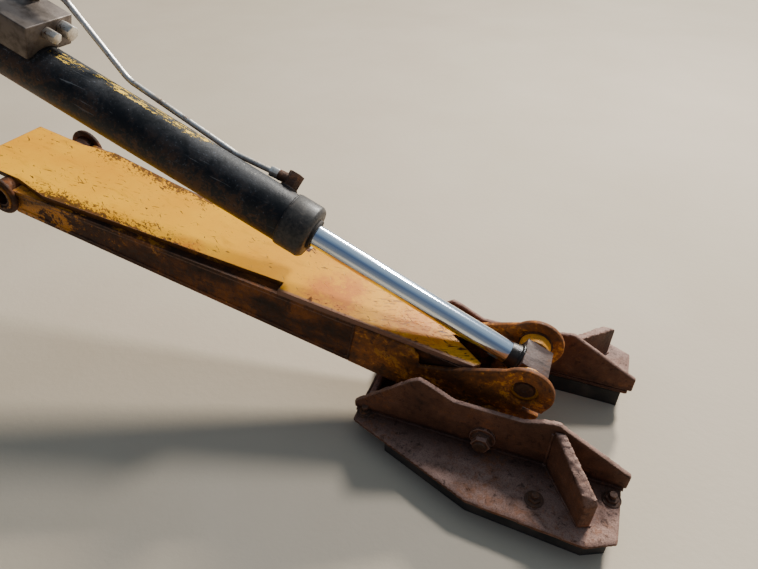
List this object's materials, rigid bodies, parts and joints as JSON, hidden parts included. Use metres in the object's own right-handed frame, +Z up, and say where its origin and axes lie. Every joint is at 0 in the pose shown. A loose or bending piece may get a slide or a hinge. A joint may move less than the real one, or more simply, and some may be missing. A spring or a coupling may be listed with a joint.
{
  "type": "backhoe loader stabilizer leg",
  "caption": "Stabilizer leg of a backhoe loader: tapered box arm with fork, hydraulic cylinder and flip-over ground pad.",
  "frame": {"origin": "centre of the arm's root pivot bore, midway along it", "axes": "+X outwards from the machine along the leg, +Y along the pivot pins, +Z up, in the pose of the picture with the pad on the ground"},
  "size_m": [1.7139, 0.576, 0.8598],
  "materials": {
    "arm_paint": "worn yellow paint over steel, rusty at the edges",
    "pad_rust": "brown rust over steel plate",
    "barrel_paint": "black paint, scratched through to older yellow",
    "rod_chrome": "hard chrome",
    "dark_steel": "dark oily steel",
    "plated_steel": "dull zinc plating",
    "block_rubber": "black rubber"
  },
  "bodies": {
    "arm": {"arm_root_tube": "arm_paint", "arm_collar_rear": "arm_paint", "arm_collar_front": "arm_paint", "arm_side_rear": "arm_paint", "arm_side_front": "arm_paint", "arm_ledge_rear": "arm_paint", "arm_ledge_front": "arm_paint", "arm_top_plate": "arm_paint", "arm_bottom_plate": "arm_paint", "fork_plate_rear": "arm_paint", "fork_plate_front": "arm_paint", "fork_web_rear": "arm_paint", "fork_web_front": "arm_paint", "fork_boss_rear": "arm_paint", "fork_boss_front": "arm_paint", "fork_cross_plate": "arm_paint", "rod_pin": "dark_steel", "pad_pivot_tube": "arm_paint"},
    "rod": {"piston_rod": "rod_chrome", "rod_neck": "dark_steel", "rod_eye": "dark_steel"},
    "barrel": {"barrel_tube": "barrel_paint", "gland_head": "barrel_paint", "base_cap": "barrel_paint", "base_eye": "barrel_paint", "head_port": "barrel_paint", "base_port": "barrel_paint", "elbow": "dark_steel", "line_nut": "plated_steel", "steel_line": "plated_steel", "line_end_nut": "plated_steel", "valve_block": "plated_steel", "valve_fittings": "plated_steel", "valve_elbow": "plated_steel", "base_line": "plated_steel"},
    "pad": {"pad_base_plate": "pad_rust", "pad_flange_rear": "pad_rust", "pad_flange_front": "pad_rust", "pad_cross_web": "pad_rust", "pad_rib_rear": "pad_rust", "pad_rib_front": "pad_rust", "pad_shaft": "pad_rust", "rubber_rear": "block_rubber", "rubber_front": "block_rubber", "rubber_inner": "block_rubber"}
  },
  "joints": [
    {"name": "rod_swing", "type": "hinge", "parent": "arm", "child": "rod", "pos_m": [1.22352, 0, -0.23561], "axis": [0, 1, 0], "range_deg": [-2, 9]},
    {"name": "barrel_slide", "type": "slide", "parent": "rod", "child": "barrel", "axis": [-0.9157, 0, 0.4019], "range_m": [-0.365, 0.06]},
    {"name": "pad_flip", "type": "hinge", "parent": "arm", "child": "pad", "pos_m": [1.16448, 0, -0.33066], "axis": [0, 1, 0], "range_deg": [-180, 3]}
  ],
  "couplings": [
    {"joint": "rod_swing", "follows": "barrel_slide", "rad_per_m": -0.406}
  ]
}
